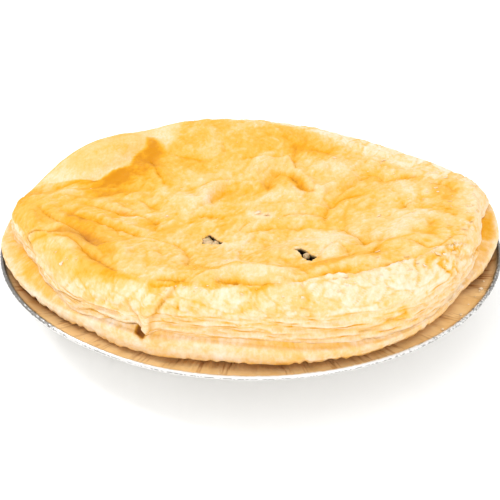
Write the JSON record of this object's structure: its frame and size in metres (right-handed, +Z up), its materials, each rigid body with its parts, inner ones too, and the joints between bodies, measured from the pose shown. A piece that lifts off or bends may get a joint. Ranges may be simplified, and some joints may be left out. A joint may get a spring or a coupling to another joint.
{
  "type": "steak and onion pie in a foil plate",
  "caption": "Round family pie with a risen, folded puff pastry lid over a dark meat filling, baked in its own shallow foil plate with a rolled rim.",
  "frame": {"origin": "middle of the foil plate's flat underside, on the surface that the pie stands on", "axes": "+Z up; -Y is the tall front of the lid, with the larger steam slit at +X"},
  "size_m": [0.23, 0.23, 0.0522],
  "materials": {
    "foil": "bright rolled foil, with baked-on fat on the flange",
    "case_pastry": "baked pastry, pale gold",
    "filling": "dark, wet gravy with meat and onion",
    "lid_pastry": "baked puff pastry, egg washed, pale to deep gold"
  },
  "bodies": {
    "root": {"foil_plate": "foil", "pastry_case": "case_pastry", "filling": "filling", "pastry_lid": "lid_pastry"}
  },
  "joints": []
}
